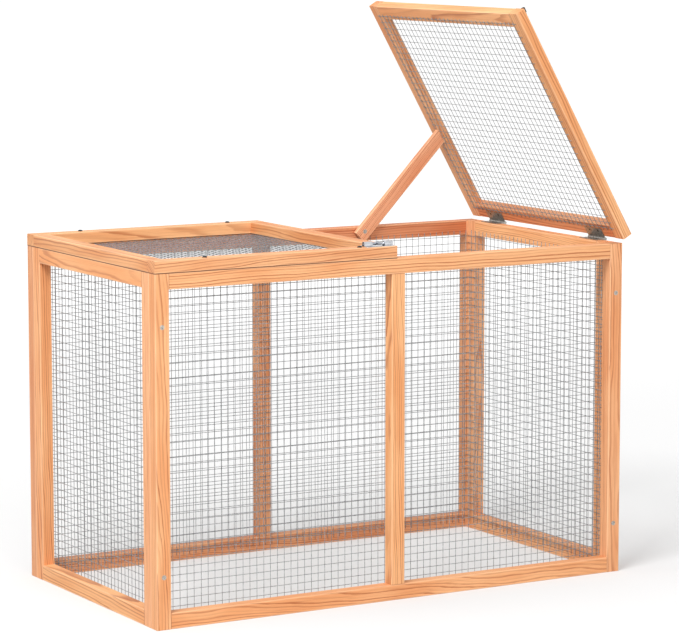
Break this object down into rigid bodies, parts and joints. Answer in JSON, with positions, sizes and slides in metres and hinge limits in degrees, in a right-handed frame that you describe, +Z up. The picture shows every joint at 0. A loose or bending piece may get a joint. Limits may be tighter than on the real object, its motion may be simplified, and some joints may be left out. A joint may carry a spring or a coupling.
{
  "type": "rabbit hutch",
  "caption": "Open-bottomed rabbit hutch run of framed wire-mesh panels, with a fixed roof panel beside a hinged lid held up by a wooden prop and locked by a barrel bolt.",
  "frame": {"origin": "under the middle of the part's bounding box, on the plane that the frame stands on", "axes": "+X to the right along the front wall, from the fixed roof panel towards the lid's hinges; +Y from the front wall to the back wall; +Z up"},
  "size_m": [0.911, 0.478, 0.9733],
  "materials": {
    "timber": "planed, unfinished softwood",
    "prop_timber": "planed softwood",
    "wire": "galvanised",
    "hinge_steel": "zinc plated",
    "screw_steel": "zinc plated",
    "dark_screw": "black, satin",
    "bolt_chrome": "polished"
  },
  "bodies": {
    "frame": {"front_left_stile": "timber", "front_right_stile": "timber", "front_centre_stile": "timber", "front_top_rail": "timber", "front_bottom_rail": "timber", "back_left_stile": "timber", "back_right_stile": "timber", "back_centre_stile": "timber", "back_top_rail": "timber", "back_bottom_rail": "timber", "left_front_stile": "timber", "left_back_stile": "timber", "left_top_rail": "timber", "left_bottom_rail": "timber", "right_front_stile": "timber", "right_back_stile": "timber", "right_top_rail": "timber", "right_bottom_rail": "timber", "front_mesh": "wire", "back_mesh": "wire", "left_mesh": "wire", "right_mesh": "wire", "roof_mesh": "wire", "roof_front_rail": "timber", "roof_back_rail": "timber", "roof_left_rail": "timber", "roof_right_rail": "timber", "front_hinge_frame_leaf": "hinge_steel", "front_hinge_pin": "hinge_steel", "back_hinge_frame_leaf": "hinge_steel", "back_hinge_pin": "hinge_steel", "panel_screws": "screw_steel", "roof_screws": "dark_screw", "hinge_frame_screws": "screw_steel", "bolt_body": "bolt_chrome", "bolt_screws": "screw_steel"},
    "lid": {"lid_front_rail": "timber", "lid_back_rail": "timber", "lid_free_rail": "timber", "lid_hinge_rail": "timber", "lid_mesh": "wire", "lid_stop_block": "timber", "front_hinge_lid_leaf": "hinge_steel", "back_hinge_lid_leaf": "hinge_steel", "hinge_lid_screws": "screw_steel", "bolt_keeper": "dark_screw", "keeper_screws": "dark_screw"},
    "prop": {"prop_batten": "prop_timber", "prop_foot_screw": "screw_steel"},
    "bolt": {"bolt_rod": "bolt_chrome"}
  },
  "joints": [
    {"name": "lid_hinge", "type": "hinge", "parent": "frame", "child": "lid", "pos_m": [0.44114, 0, 0.5712], "axis": [0, 1, 0], "range_deg": [-60, 0]},
    {"name": "prop_fold", "type": "hinge", "parent": "lid", "child": "prop", "pos_m": [0.34296, 0.2107, 0.73865], "axis": [0, 1, 0], "range_deg": [0, 105.9]},
    {"name": "bolt_slide", "type": "slide", "parent": "frame", "child": "bolt", "axis": [1, 0, 0], "range_m": [0, 0.0125]}
  ],
  "couplings": [
    {"joint": "prop_fold", "follows": "lid_hinge", "ratio": -1.765}
  ]
}
